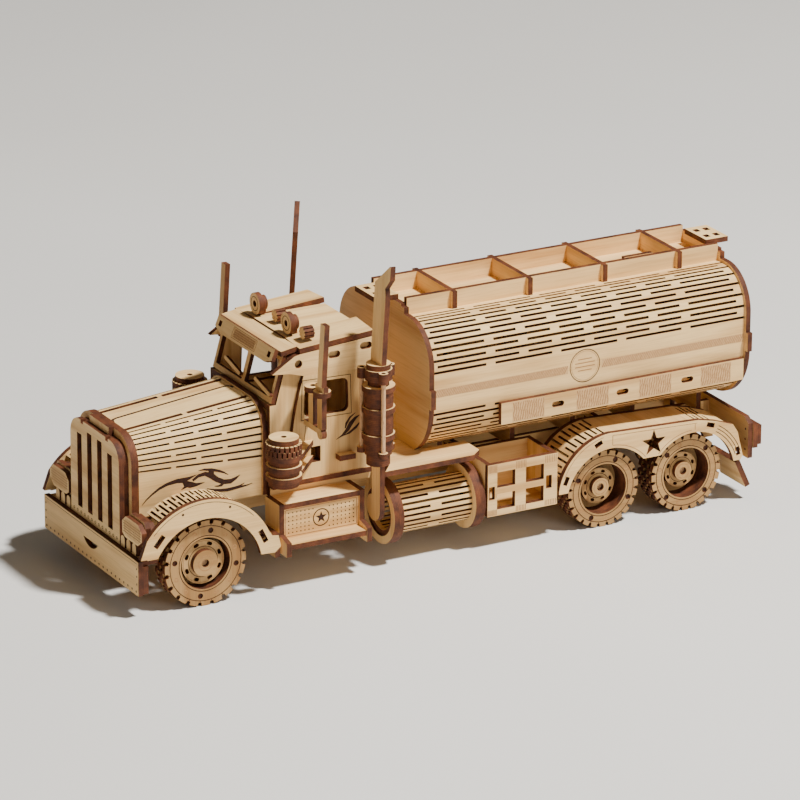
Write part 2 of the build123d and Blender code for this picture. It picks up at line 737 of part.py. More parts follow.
def tail_lamp():
    """Left tail lamp, two layers."""
    return [
        cross_board(rect(-49.2, -38.0, 25.0, 36.4), 283.5),
        cross_board(rect(-48.2, -39.0, 26.0, 35.4), 286.0),
    ]


def rear_mudflap():
    """Slanted board behind the left rear wheels."""
    run = poly((273.6, 19.8), (276.0, 20.8), (282.2, 7.4), (279.8, 6.4))
    return long_board(run, -49.4, 22.0)


# ---- Tank ----
def tank_outline(inset):
    """Rounded tank section with tighter corners on top than below."""
    half = TANK_HALF - inset
    z0 = TANK_Z[0] + inset
    z1 = TANK_Z[1] - inset
    rt = TANK_TOP_R - inset
    rl = TANK_LOW_R - inset
    outline = rect(-half, half, z0 + rl, z1 - rt) + rect(-half + rt, half - rt, z0 + rl, z1)
    outline += rect(-half + rl, half - rl, z0, z1 - rt)
    for side in (-1, 1):
        outline += disc(side * (half - rt), z1 - rt, rt) + disc(side * (half - rl), z0 + rl, rl)
    return outline


def tank_plate(x_low):
    """End plate of the tank with a tab on each side."""
    outline = tank_outline(0) + rect(-TANK_HALF - 1.8, TANK_HALF + 1.8, 71.0, 80.0)
    return cross_board(outline, x_low)


def tank_skin():
    """Closed bent sheet between the two end plates."""
    ring = tank_outline(TANK_LIP) - tank_outline(TANK_LIP + PLY)
    return cross_board(ring, TANK_X[0] + PLY, TANK_X[1] - TANK_X[0] - 2 * PLY)


def tank_ribs():
    """Inner ribs that keep the tank skin in shape."""
    ring = tank_outline(TANK_LIP + PLY + 0.2) - rect(-20, 20, 58, 94)
    return [cross_board(ring, x) for x in (157.0, 199.0, 241.0)]


def tank_skirt():
    """Left rail under the tank side, with rounded slots."""
    outline = rect(151.8, 280.6, 57.6, 67.9)
    for x in (181.4, 215.6, 250.2):
        outline -= Pos(x, 62.7) * SlotOverall(6.4, 2.6)
    return long_board(outline, -TANK_HALF - PLY + TANK_LIP)


def walkway_board():
    """Left upright board of the walkway on top of the tank."""
    x0, x1 = TANK_X[0] + PLY, TANK_X[1] - PLY
    board = long_board(rect(x0, x1, TANK_Z[1] - TANK_LIP, WALK_TOP), -WALK_Y - PLY / 2)
    for x in WALK_CROSS_X:
        board -= block(x - PLY / 2, x + PLY / 2, -20, -10, 111.5, 120)
    return board


def walkway_cross():
    """Boards across the walkway that hook over its two long boards."""
    pieces = []
    for x in WALK_CROSS_X:
        board = cross_board(rect(-18.8, 18.8, TANK_Z[1] - TANK_LIP, WALK_TOP), x - PLY / 2)
        for y in (-WALK_Y, WALK_Y):
            board -= block(x - 5, x + 5, y - PLY / 2, y + PLY / 2, 100, 111.5)
        pieces.append(board)
    return pieces


def walkway_ends():
    """Stepped boards that close the walkway over the two end plates."""
    outline = rect(-18.8, 18.8, TANK_Z[1], 112.0) + rect(-16.0, 16.0, 112.0, 113.1)
    return [cross_board(outline, x) for x in (TANK_X[0], TANK_X[1] - PLY)]


def platform(x0):
    """Small plate with four square holes at an end of the walkway."""
    outline = rect(x0, x0 + 12.0, -PLATFORM_HALF, PLATFORM_HALF)
    for x in (x0 + 3.4, x0 + 8.6):
        for y in (-4.4, 4.4):
            outline -= slot(x, y, 2.8, 3.6)
    return flat_board(outline, 113.1)


def partition():
    """Low board inside the fourth bay of the walkway."""
    return long_board(rect(240.5, 256.0, TANK_Z[1] - TANK_LIP, 111.0), -2.0)


# ---- Assembly ----
nodes = {}


def add(name, pieces):
    nodes[name] = pieces if isinstance(pieces, list) else [pieces]


front = wheelset(FRONT_AXLE_X, FRONT_TYRE_R, FRONT_TYRE_OUT, FRONT_LAYERS, FRONT_TEETH, 10.4, 6.1, 1, 15.4, 80)
add("front_axle_dowel", front[0])
add("front_tyre_rings", front[1])
add("front_hubs", front[2])
for index, (axle_x, turn) in enumerate(zip(REAR_AXLES_X, (65, 45)), start=1):
    rear = wheelset(axle_x, REAR_TYRE_R, REAR_TYRE_OUT, REAR_LAYERS, REAR_TEETH, 8.5, 4.4, 2, 14.6, turn)
    add(f"rear_axle_dowel_{index}", rear[0])
    add(f"rear_tyre_rings_{index}", rear[1])
    add(f"rear_hubs_{index}", rear[2])

add("chassis_rails", pair(chassis_rail()))
add("chassis_crossmembers", crossmembers())
add("tank_cradles", tank_cradles())
add("bumper_boards", bumper_board())
add("bumper_shelf", bumper_shelf())
add("bumper_combs", bumper_combs())
add("grille_face", grille_face())
add("grille_frame", grille_frame())
add("head_lamps", [piece for part in head_lamp() for piece in pair(part)])
add("hood_cover", hood_cover())
add("hood_formers", hood_formers())
add("front_guard_sides", pair(front_guard_side()))
add("front_guard_inners", [piece for part in front_guard_inner() for piece in pair(part)])
add("front_guard_tops", pair(front_guard_top()))
add("mudflaps", pair(front_mudflap()) + pair(rear_mudflap()))
add("cab_floor", cab_floor() + pair(cab_sill()))
add("cab_side_left", cab_side())
add("cab_side_right", other_side(cab_side()))
add("door_left", [door(), door_handle()])
add("door_right", [other_side(door()), other_side(door_handle())])
add("cab_eaves", pair(eave()))
add("cab_back", cab_back())
add("windscreen_frame", screen_frame())
add("wipers", [wiper(*place) for place in WIPERS])
add("sun_visor", sun_visor())
add("roof_boards", roof_boards())
add("roof_lights", roof_light(-15.1) + roof_light(15.1))
add("roof_horns", [roof_horn(0.6), roof_horn(-25.6)])
add("air_cleaners", [piece for part in air_cleaner() for piece in pair(part)])
add("mirrors", [piece for part in mirror_set() for piece in pair(part)])
add("step_boxes", [piece for part in step_box() for piece in pair(part)])
add("exhaust_left", exhaust(0, 0) + [down_pipe()])
add("exhaust_right", [other_side(piece) for piece in exhaust(29, 3.0) + [down_pipe()]])
add("fuel_tank_rings", [piece for part in fuel_rings() for piece in pair(part)])
add("fuel_tank_barrels", pair(fuel_wrap()))
add("fuel_decks", pair(fuel_deck()))
add("tool_box_left", tool_box())
add("tool_box_right", [other_side(piece) for piece in tool_box()])
add("rear_guard_sides", pair(rear_guard_side()))
add("rear_guard_inners", pair(rear_guard_inner()))
add("rear_guard_tops", pair(rear_guard_top()))
add("tail_board", [tail_board()] + tail_links())
add("tail_lamps", [piece for part in tail_lamp() for piece in pair(part)])
add("tank_front_plate", tank_plate(TANK_X[0]))
add("tank_rear_plate", tank_plate(TANK_X[1] - PLY))
add("tank_skin", tank_skin())
add("tank_ribs", tank_ribs())
add("tank_skirts", pair(tank_skirt()))
add("walkway_boards", pair(walkway_board()))
add("walkway_cross_boards", walkway_cross() + [partition()])
add("walkway_ends", walkway_ends() + [platform(105.2), platform(280.0)])

to_origin = Pos(FRONT_OVERHANG - LENGTH / 2, 0, 0)
os.makedirs("parts", exist_ok=True)
for name, pieces in nodes.items():
    solids = []
    for piece in pieces:
        solids += (to_origin * piece).solids()
    shape = solids[0] if len(solids) == 1 else Compound(children=solids)
    export_step(shape, f"parts/{name}.step")
print(len(nodes), "nodes")
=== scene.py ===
import math

import bmesh
import bpy
from mathutils import Matrix, Vector


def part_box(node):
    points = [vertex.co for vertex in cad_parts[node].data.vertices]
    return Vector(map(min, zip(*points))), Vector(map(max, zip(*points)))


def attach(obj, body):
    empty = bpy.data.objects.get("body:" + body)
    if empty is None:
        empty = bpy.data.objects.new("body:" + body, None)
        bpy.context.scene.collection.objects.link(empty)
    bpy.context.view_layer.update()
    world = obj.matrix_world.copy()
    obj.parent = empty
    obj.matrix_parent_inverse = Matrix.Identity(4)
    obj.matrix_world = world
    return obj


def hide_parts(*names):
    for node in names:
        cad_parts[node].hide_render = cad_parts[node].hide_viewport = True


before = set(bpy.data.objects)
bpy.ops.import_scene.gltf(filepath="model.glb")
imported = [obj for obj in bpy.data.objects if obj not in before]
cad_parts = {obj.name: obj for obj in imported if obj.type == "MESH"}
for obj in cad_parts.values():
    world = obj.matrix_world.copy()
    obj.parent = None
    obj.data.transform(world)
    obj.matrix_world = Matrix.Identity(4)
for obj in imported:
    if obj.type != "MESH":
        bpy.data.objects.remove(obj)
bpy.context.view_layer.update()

# Sizes are in millimetres and places in truck stations: X behind the front axle, Y to the right
# of the centre plane, Z above the table. at() turns them into the frame's metres.
MM = 0.001
PLY = 2.5
NOSE_STATION = -33.6
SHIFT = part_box("bumper_boards")[0].x / MM - NOSE_STATION


SIDES = ((-1, "left"), (1, "right"))


def at(x, y, z):
    """Point of the frame, in metres, at a place given in stations and millimetres."""
    return Vector(((x + SHIFT) * MM, y * MM, z * MM))


# ---- Materials ----
GRAINS = "XYZ"
TONE_SHIFT = (0.9, 1.7, 1.3)   # metres by which a full step of tone moves a board's pattern
MIX_FACTOR, MIX_A, MIX_B = 0, 6, 7     # colour sockets of Blender's Mix node
MIX_RESULT = 2


class Graph:
    """Small helper that builds one material's nodes."""

    def __init__(self, name, roughness=0.6):
        self.mat = bpy.data.materials.new(name)
        self.mat.use_nodes = True
        self.tree = self.mat.node_tree
        self.shader = self.tree.nodes["Principled BSDF"]
        self.shader.inputs["Roughness"].default_value = roughness
        self.shader.inputs["Specular IOR Level"].default_value = 0.3

    def add(self, kind, inputs=None, **props):
        node = self.tree.nodes.new("ShaderNode" + kind)
        for key, value in props.items():
            setattr(node, key, value)
        for key, value in (inputs or {}).items():
            if isinstance(value, bpy.types.NodeSocket):
                self.tree.links.new(value, node.inputs[key])
            else:
                node.inputs[key].default_value = value
        return node

    def link(self, source, target):
        self.tree.links.new(source, target)

    def place(self, scale):
        """Object coordinates, shifted by the board's tone so that no two boards share a pattern."""
        coord = self.add("TexCoord")
        tone = self.add("Attribute", attribute_name="tone")
        shift = self.add("VectorMath", {0: tone.outputs["Vector"], 1: TONE_SHIFT}, operation="MULTIPLY")
        moved = self.add("VectorMath", {0: coord.outputs["Object"], 1: shift.outputs[0]}, operation="ADD")
        scaled = self.add("VectorMath", {0: moved.outputs[0], 1: scale}, operation="MULTIPLY")
        return scaled.outputs[0]

    def noise(self, vector, detail, roughness):
        inputs = {"Vector": vector, "Scale": 1.0, "Detail": detail, "Roughness": roughness}
        return self.add("TexNoise", inputs).outputs["Fac"]

    def ramp(self, value, *stops):
        """Colours by value: each stop is (position, colour)."""
        node = self.add("ValToRGB", {"Fac": value})
        elements = node.color_ramp.elements
        while len(elements) < len(stops):
            elements.new(0.5)
        for element, (position, colour) in zip(elements, stops):
            element.position = position
            element.color = (*colour, 1.0)
        return node.outputs["Color"]

    def mix(self, factor, a, b, blend="MIX"):
        node = self.add("Mix", data_type="RGBA", blend_type=blend)
        for key, value in ((MIX_FACTOR, factor), (MIX_A, a), (MIX_B, b)):
            if isinstance(value, bpy.types.NodeSocket):
                self.link(value, node.inputs[key])
            elif key == MIX_FACTOR:
                node.inputs[key].default_value = value
            else:
                node.inputs[key].default_value = (*value, 1.0)
        return node.outputs[MIX_RESULT]

    def spread(self, value, low, high):
        """Maps 0..1 to low..high."""
        return self.add("MapRange", {"Value": value, "To Min": low, "To Max": high}).outputs[0]

    def bump(self, height, strength, distance):
        node = self.add("Bump", {"Height": height, "Strength": strength, "Distance": distance})
        self.link(node.outputs[0], self.shader.inputs["Normal"])


PLY_LIGHT = (0.85, 0.585, 0.272)
PLY_DARK = (0.62, 0.365, 0.14)
SCORCH = (0.055, 0.016, 0.007)
CHAR = (0.022, 0.009, 0.005)
# Colour that faces are darkened towards: painted shade, and on the tyres partly smoke stain as well.
SHADE_AND_SMOKE_TINT = (0.36, 0.27, 0.19)
AMBER = (0.21, 0.062, 0.02)
EMBER = tuple((a + b) / 2 for a, b in zip(SCORCH, AMBER))
PLY_BRIGHT = tuple(1.06 * c for c in PLY_LIGHT)
GLUE_LINE = (0.35, 0.30, 0.28)
BEECH_DARK = (0.45, 0.24, 0.11)
BEECH_LIGHT = (0.72, 0.46, 0.25)
WHITE = (1.0, 1.0, 1.0)


def grain_scale(axis, along, across):
    """Pattern scale that is coarse along the grain's axis and fine across it."""
    return tuple(along if name == axis else across for name in GRAINS)


def sheet_face(axis):
    """Raw birch ply seen flat: fibres, broad bands and a few small flecks along one axis."""
    g = Graph("ply_face_" + axis.lower(), 0.62)
    fibre = g.noise(g.place(grain_scale(axis, 45, 1500)), detail=5.0, roughness=0.62)
    band = g.noise(g.place(grain_scale(axis, 9, 130)), detail=3.0, roughness=0.5)
    cloud = g.noise(g.place((28, 28, 28)), detail=2.0, roughness=0.5)
    wood = g.ramp(band, (0.30, PLY_DARK), (0.52, PLY_LIGHT), (0.80, PLY_BRIGHT))
    threads = g.ramp(fibre, (0.30, (0.74, 0.66, 0.56)), (0.52, WHITE), (0.75, (1.04, 1.03, 1.0)))
    colour = g.mix(0.55, wood, threads, "MULTIPLY")
    clouds = g.ramp(cloud, (0.35, (0.90, 0.86, 0.80)), (0.62, (1.03, 1.02, 1.0)))
    colour = g.mix(0.7, colour, clouds, "MULTIPLY")
    tone = g.add("Attribute", attribute_name="tone")
    tint = g.ramp(
        tone.outputs["Fac"],
        (0.0, (0.90, 0.87, 0.82)), (0.5, (1.0, 0.98, 0.95)), (1.0, (1.03, 1.03, 1.02)),
    )
    colour = g.mix(1.0, colour, tint, "MULTIPLY")
    # Painted shade: faces darken towards a dull brown by the node's darkening amount; on the tyres this is
    # partly smoke stain too.
    darkening = g.add("Attribute", attribute_name="darkening")
    colour = g.mix(darkening.outputs["Fac"], colour, SHADE_AND_SMOKE_TINT, "MULTIPLY")
    g.link(colour, g.shader.inputs["Base Color"])
    g.link(g.spread(fibre, 0.52, 0.74), g.shader.inputs["Roughness"])
    g.bump(fibre, strength=0.25, distance=0.00008)
    return g.mat


VENEERS = 3.0                  # glued layers in a sheet of ply


def burnt_edge():
    """Laser-cut edge: scorched plies with darker glue lines and fine stripes across the sheet."""
    g = Graph("ply_burnt_edge", 0.7)
    level = g.add("Attribute", attribute_name="layer")
    plies = g.add("Math", {0: level.outputs["Fac"], 1: VENEERS}, operation="MULTIPLY")
    step = g.add("Math", {0: plies.outputs[0]}, operation="FRACT")
    glue = g.ramp(step.outputs[0], (0.0, GLUE_LINE), (0.16, WHITE), (0.84, WHITE), (1.0, GLUE_LINE))
    darkening = g.noise(g.place((160, 160, 160)), detail=3.0, roughness=0.6)
    stripes = g.noise(g.place((2600, 2600, 2600)), detail=2.0, roughness=0.5)
    colour = g.ramp(darkening, (0.32, SCORCH), (0.55, EMBER), (0.75, AMBER))
    colour = g.mix(0.8, colour, glue, "MULTIPLY")
    lines = g.ramp(stripes, (0.35, (0.7, 0.66, 0.62)), (0.65, (1.1, 1.1, 1.1)))
    colour = g.mix(0.6, colour, lines, "MULTIPLY")
    g.link(colour, g.shader.inputs["Base Color"])
    g.bump(stripes, strength=0.3, distance=0.00006)
    return g.mat


def engraved(name, light, dark):
    """Burnt-in lines and patches."""
    g = Graph(name, 0.8)
    darkening = g.noise(g.place((900, 900, 900)), detail=3.0, roughness=0.6)
    colour = g.ramp(darkening, (0.35, dark), (0.70, light))
    g.link(colour, g.shader.inputs["Base Color"])
    g.bump(darkening, strength=0.4, distance=0.00005)
    return g.mat


def dowel_wood(axis):
    """Turned beech: short dark flecks along the dowel."""
    g = Graph("beech_" + axis.lower(), 0.5)
    fibre = g.noise(g.place(grain_scale(axis, 60, 1800)), detail=4.0, roughness=0.6)
    fleck = g.noise(g.place(grain_scale(axis, 400, 2600)), detail=2.0, roughness=0.5)
    colour = g.ramp(fibre, (0.30, BEECH_DARK), (0.70, BEECH_LIGHT))
    flecks = g.ramp(fleck, (0.34, (0.55, 0.45, 0.38)), (0.44, WHITE))
    colour = g.mix(0.8, colour, flecks, "MULTIPLY")
    g.link(colour, g.shader.inputs["Base Color"])
    g.link(g.spread(fibre, 0.42, 0.6), g.shader.inputs["Roughness"])
    return g.mat


FACES = {axis: sheet_face(axis) for axis in GRAINS}
BEECH = {axis: dowel_wood(axis) for axis in GRAINS}
EDGE = burnt_edge()
BURN = engraved("engraved_dark", SCORCH, CHAR)
TINT = engraved("engraved_tan", (0.46, 0.25, 0.10), (0.33, 0.16, 0.06))
PALE = engraved("engraved_pale", (0.66, 0.42, 0.20), (0.54, 0.32, 0.14))


# ---- CAD boards: sheet faces, scorched edges and a tone for each board ----
def islands(mesh):
    """Lists of polygon indices, one for each board. The boards follow one another in the mesh, and
    a board is complete once every edge of its polygons has been met twice."""
    keys = [tuple(round(c / MM, 3) for c in vertex.co) for vertex in mesh.vertices]
    groups = []
    board = []
    loose = set()
    for polygon in mesh.polygons:
        ids = [keys[v] for v in polygon.vertices]
        board.append(polygon.index)
        for a, b in zip(ids, ids[1:] + ids[:1]):
            if a != b:
                loose ^= {frozenset((a, b))}
        if not loose:
            groups.append(board)
            board = []
    if board:
        groups.append(board)
    return groups


def sheet_normal(mesh, polygons):
    """Direction that most of a board's area faces, and that area's share of the whole."""
    areas = {}
    for index in polygons:
        polygon = mesh.polygons[index]
        sign = -1 if max(polygon.normal, key=abs) < 0 else 1
        key = tuple(round(sign * c, 2) + 0.0 for c in polygon.normal)
        areas[key] = areas.get(key, 0.0) + polygon.area
    best = max(areas, key=areas.get)
    return Vector(best).normalized(), areas[best] / sum(areas.values())


# How much each node's faces are darkened, by a part of its name: painted shade on the hubs' recessed webs,
# the tail, the inner guards and the tank's front plate, and partly smoke stain, partly painted shade on the
# tyre rings, which carry the most.
SHADE_AND_SMOKE = {"tyre_rings": 0.76, "hubs": 0.6, "tail": 0.4, "guard_inners": 0.6, "front_plate": 0.3}
EDGE_SLOT = 3                  # the sheet faces X, Y and Z come before it
BEECH_SLOT = 4
PIN_WIDTH = 3 * MM             # solids of a hub that are thinner than this are rim pins
DOWEL_SHARE = 0.3              # a dowel has no direction with more of its area than this
DOWEL_SLENDER = 4              # and is longer than this many times its width
FLAT = 0.9                     # least cosine between a sheet's normal and its faces
NODE_STEP = 0.37               # steps of tone from node to node and from board to board
BOARD_STEP = 0.618


def shade_and_smoke_of(name):
    for part, amount in SHADE_AND_SMOKE.items():
        if part in name:
            return amount
    return 0.0


def dress(name, node, order):
    """Gives every board of a CAD node its materials, its tone and its depth through the sheet."""
    mesh = node.data
    mesh.materials.clear()
    for material in (*FACES.values(), EDGE, *BEECH.values()):
        mesh.materials.append(material)
    tone = mesh.attributes.new("tone", "FLOAT", "POINT")
    layer = mesh.attributes.new("layer", "FLOAT", "POINT")
    # Amount of painted shade for the node (partly smoke stain on the tyres), the same on every vertex.
    darkening = mesh.attributes.new("darkening", "FLOAT", "POINT")
    darkening.data.foreach_set("value", [shade_and_smoke_of(name)] * len(mesh.vertices))
    for count, polygons in enumerate(islands(mesh)):
        vertices = {v for index in polygons for v in mesh.polygons[index].vertices}
        normal, share = sheet_normal(mesh, polygons)
        points = [mesh.vertices[v].co for v in vertices]
        extents = [max(p[a] for p in points) - min(p[a] for p in points) for a in range(3)]
        longest = extents.index(max(extents))
        second = sorted(extents)[1]
        low = min(p.dot(normal) for p in points)
        is_pin = "hubs" in name and second < PIN_WIDTH
        is_dowel = share < DOWEL_SHARE and max(extents) > DOWEL_SLENDER * second and not is_pin
        for v in vertices:
            tone.data[v].value = (NODE_STEP * order + BOARD_STEP * count) % 1.0
            layer.data[v].value = (mesh.vertices[v].co.dot(normal) - low) / (PLY * MM)
        for index in polygons:
            polygon = mesh.polygons[index]
            if is_dowel:
                polygon.material_index = BEECH_SLOT + longest
            elif abs(polygon.normal.dot(normal)) > FLAT and not is_pin:
                polygon.material_index = longest
            else:
                polygon.material_index = EDGE_SLOT


for order, (name, node) in enumerate(sorted(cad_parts.items())):
    dress(name, node, order)


# ---- New pieces ----
def piece(name, mesh, body, replaces=()):
    """Makes a named object of a finished mesh and fastens it to its body."""
    obj = bpy.data.objects.new(name, mesh)
    bpy.context.scene.collection.objects.link(obj)
    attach(obj, body)
    if replaces:
        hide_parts(*replaces)
    return obj


def finish_mesh(name, bm, materials, tone, soft=None):
    """Mesh from a bmesh, with its normals put right and its board attributes set."""
    bmesh.ops.recalc_face_normals(bm, faces=bm.faces)
    if soft is not None:
        for face in bm.faces:
            face.smooth = True
        for edge in bm.edges:
            edge.smooth = edge.is_manifold and edge.calc_face_angle(0) < soft
    mesh = bpy.data.meshes.new(name)
    has_layer = bm.verts.layers.float.get("layer") is not None
    bm.to_mesh(mesh)
    bm.free()
    for material in materials:
        mesh.materials.append(material)
    attribute = mesh.attributes.new("tone", "FLOAT", "POINT")
    attribute.data.foreach_set("value", [tone] * len(mesh.vertices))
    if not has_layer:
        attribute = mesh.attributes.new("layer", "FLOAT", "POINT")
        attribute.data.foreach_set("value", [0.5] * len(mesh.vertices))
    return mesh


def spans(edges):
    """Neighbouring pairs of a list."""
    return list(zip(edges, edges[1:]))


NEAR = 1e-6
SOFT = math.radians(9)         # bends gentler than this are shaded smooth


def merged(values):
    """Sorted numbers without near repeats."""
    out = []
    for value in sorted(values):
        if not out or value - out[-1] > NEAR:
            out.append(value)
    return out


def cut_sheet(name, us, vs, place, cut, axis, tone, wrap=False, thick=PLY, soft=None):
    """Closed mesh of a bent sheet. It is laid out in cells of (u, v), and cut(u, v) says whether
    the cell around that middle point is cut away. place(u, v, depth) puts a point in the frame."""
    bm = bmesh.new()
    layer = bm.verts.layers.float.new("layer")
    cells = {}
    rows = len(us) - 1
    for i, (u0, u1) in enumerate(spans(us)):
        for j, (v0, v1) in enumerate(spans(vs)):
            cells[i, j] = not cut((u0 + u1) / 2, (v0 + v1) / 2)
    made = {}

    def corner(i, j, side):
        key = (i % rows if wrap else i, j, side)
        if key not in made:
            made[key] = bm.verts.new(place(us[key[0]], vs[j], side * thick))
            made[key][layer] = side
        return made[key]

    def there(i, j):
        return cells.get((i % rows if wrap else i, j), False)

    for (i, j), kept in cells.items():
        if not kept:
            continue
        ring = [(i, j), (i + 1, j), (i + 1, j + 1), (i, j + 1)]
        bm.faces.new([corner(*c, 0) for c in ring])
        bm.faces.new([corner(*c, 1) for c in reversed(ring)])
        walls = [
            (there(i, j - 1), ring[0], ring[1]), (there(i + 1, j), ring[1], ring[2]),
            (there(i, j + 1), ring[2], ring[3]), (there(i - 1, j), ring[3], ring[0]),
        ]
        for joined, a, b in walls:
            if not joined:
                wall = bm.faces.new([corner(*a, 0), corner(*b, 0), corner(*b, 1), corner(*a, 1)])
                wall.material_index = 1
    return finish_mesh(name, bm, [FACES[axis], EDGE], tone, soft)


# ---- Outlines that can be walked by length ----
def line(a0, b0, a1, b1):
    """Straight run, with its outward side on the right hand."""
    length = math.hypot(a1 - a0, b1 - b0)
    da = (a1 - a0) / length
    db = (b1 - b0) / length
    return length, lambda s: (a0 + da * s, b0 + db * s, db, -da)


def arc(a, b, radius, start, end):
    """Arc about (a, b) between two angles in degrees."""
    turn = math.radians(end - start)
    length = abs(turn) * radius

    def spot(s):
        angle = math.radians(start) + turn * s / length
        return a + radius * math.cos(angle), b + radius * math.sin(angle), math.cos(angle), math.sin(angle)

    return length, spot


def walk(track, s):
    """Point and outward direction at a distance along a track."""
    for length, spot in track[:-1]:
        if s <= length:
            return spot(s)
        s -= length
    return track[-1][1](s)


def track_length(track):
    return sum(length for length, _ in track)


def is_cut(rows, width, s, x):
    """Whether (s, x) lies in one of the slits: rows hold a place and the ranges that are open."""
    for place, ranges in rows:
        if abs(s - place) < width / 2 and any(x0 < x < x1 for x0, x1 in ranges):
            return True
    return False


def open_ranges(start, end, bridges, bridge_width):
    """Ranges from start to end between the bridges."""
    edges = [start]
    for middle in bridges:
        edges += [middle - bridge_width / 2, middle + bridge_width / 2]
    edges.append(end)
    return list(zip(edges[::2], edges[1::2]))


def row_edges(rows, width):
    """Both edges of every row of slits."""
    return [place + side * width / 2 for place, _ in rows for side in (-1, 1)]


def range_edges(rows):
    """Both ends of every slit."""
    return [x for _, ranges in rows for limits in ranges for x in limits]


# ---- Tank skin: two fields of slits on each side ----
TANK_X = (117.5, 282.0)
TANK_SHORT_X = (120.0, 278.0)  # reach of every second row
TANK_BRIDGE = 4.7
TANK_ROWS = 13                 # rows in each of the two fields
UPPER_ROW = 53.56              # first rows of the fields, measured along the skin from the top
LOWER_ROW = 73.46
TANK_BENDS = [51.66, 69.66, 71.4, 108.2, 109.72]
SLIT = 1.2
PITCH = 2.75
TANK_TRACK = [
    line(0, 107.5, -22.6, 107.5),
    arc(-22.6, 89.0, 18.5, 90, 180),
    line(-41.1, 89.0, -41.1, 71.0),
    arc(-15.6, 71.0, 25.5, 180, 270),
    line(-15.6, 45.5, 0, 45.5),
]


def tank_skin():
    half = track_length(TANK_TRACK)
    long_rows = open_ranges(*TANK_X, (147.5, 181.8, 216.1, 250.4), TANK_BRIDGE)
    short_rows = open_ranges(*TANK_SHORT_X, (164.6, 199.0, 233.3), TANK_BRIDGE)
    rows = []
    for k in range(TANK_ROWS):
        ranges = long_rows if k % 2 == 0 else short_rows
        rows.append((UPPER_ROW - PITCH * k, ranges))
        rows.append((LOWER_ROW + PITCH * k, ranges))
    edges = row_edges(rows, SLIT) + TANK_BENDS + [half / 2]
    edges = [s for s in edges if s > 0]
    us = merged([0, half] + edges + [2 * half - s for s in edges])[:-1]
    us.append(2 * half)

    def place(u, x, depth):
        side = 1 if u <= half else -1
        y, z, ny, nz = walk(TANK_TRACK, min(u, 2 * half - u))
        return at(x, side * (y - ny * depth), z - nz * depth)

    def cut(u, x):
        return is_cut(rows, SLIT, min(u, 2 * half - u), x)

    vs = merged(list(TANK_X) + range_edges(rows))
    mesh = cut_sheet("tank_skin_slit", us, vs, place, cut, "X", 0.55, wrap=True, soft=SOFT)
    piece("tank_skin_slit", mesh, "truck", ["tank_skin"])


# ---- Hood cover: ten rows of slits on each side that fan out towards the windscreen ----
HOOD_X = (-22.5, 39.0)
HOOD_TOP = (75.5, 81.0)
HOOD_SLIT = 0.30               # width of a slit as a share of the distance between two rows
HOOD_ROWS = 10
HOOD_BRIDGE = 2.3
HOOD_HALF = 26.2
HOOD_CORNER = 13               # radius of the rounded upper corner
HOOD_FLAT = 13.2               # half width of the flat top
HOOD_BEND_END = 33.62          # distance from the middle to the foot of the corner
HOOD_SIDE_Z = 38.6             # bottom edge
HOOD_LOW_ROW = (60.2, 3.1)     # height of the lowest row at the nose, and its fall to the windscreen


def hood_share(x):
    """How far back x is on the hood, from 0 to 1."""
    return (x - HOOD_X[0]) / (HOOD_X[1] - HOOD_X[0])


def hood_top(x):
    return HOOD_TOP[0] + (HOOD_TOP[1] - HOOD_TOP[0]) * hood_share(x)


def hood_place(u, x, depth):
    """Point on the hood: 1 to 10 are the rows of slits, 11 is the bottom edge, and below 0 is the
    right side."""
    top = hood_top(x)
    shoulder = top - HOOD_CORNER
    track = [
        line(0, top, -HOOD_FLAT, top),
        arc(-HOOD_FLAT, shoulder, HOOD_CORNER, 90, 180),
        line(-HOOD_HALF, shoulder, -HOOD_HALF, 30),
    ]
    lowest = HOOD_BEND_END + shoulder - (HOOD_LOW_ROW[0] - HOOD_LOW_ROW[1] * hood_share(x))
    end = HOOD_BEND_END + shoulder - HOOD_SIDE_Z
    pitch = (lowest - HOOD_FLAT) / (HOOD_ROWS - 1)
    past_rows = HOOD_ROWS + 0.5
    k = abs(u)
    if k <= 1:
        s = HOOD_FLAT * k
    elif k <= past_rows:
        s = HOOD_FLAT + pitch * (k - 1)
    else:
        s = lowest + pitch / 2 + (end - lowest - pitch / 2) * (k - past_rows) * 2
    y, z, ny, nz = walk(track, s)
    side = -1 if u < 0 else 1
    return at(x, side * (y - ny * depth), z - nz * depth)


def hood_cover():
    rows = []
    for k in range(1, HOOD_ROWS + 1):
        bridges = (-5.0, 20.6) if k % 2 == 0 else (7.5,)
        rows.append((float(k), open_ranges(*HOOD_X, bridges, HOOD_BRIDGE)))
    edges = row_edges(rows, HOOD_SLIT) + [HOOD_ROWS + 1.0]
    us = merged([0.0] + edges + [-u for u in edges])
    vs = merged(list(HOOD_X) + range_edges(rows))

    def cut(u, x):
        return is_cut(rows, HOOD_SLIT, abs(u), x)

    mesh = cut_sheet("hood_cover_slit", us, vs, hood_place, cut, "X", 0.8, soft=SOFT)
    piece("hood_cover_slit", mesh, "truck", ["hood_cover"])


# ---- Fuel tank barrels ----
BARREL_R = 11.35
BARREL_Y = 34.2
BARREL_Z = 23.2
BARREL_X = (95.0, 140.0)
BARREL_OPEN = (97.5, 137.5)    # reach of the slits
BARREL_BRIDGE = (114.6, 120.2)     # gap in the middle of every second slit
BARREL_SLITS = 26
BARREL_SLIT_HALF = 0.58


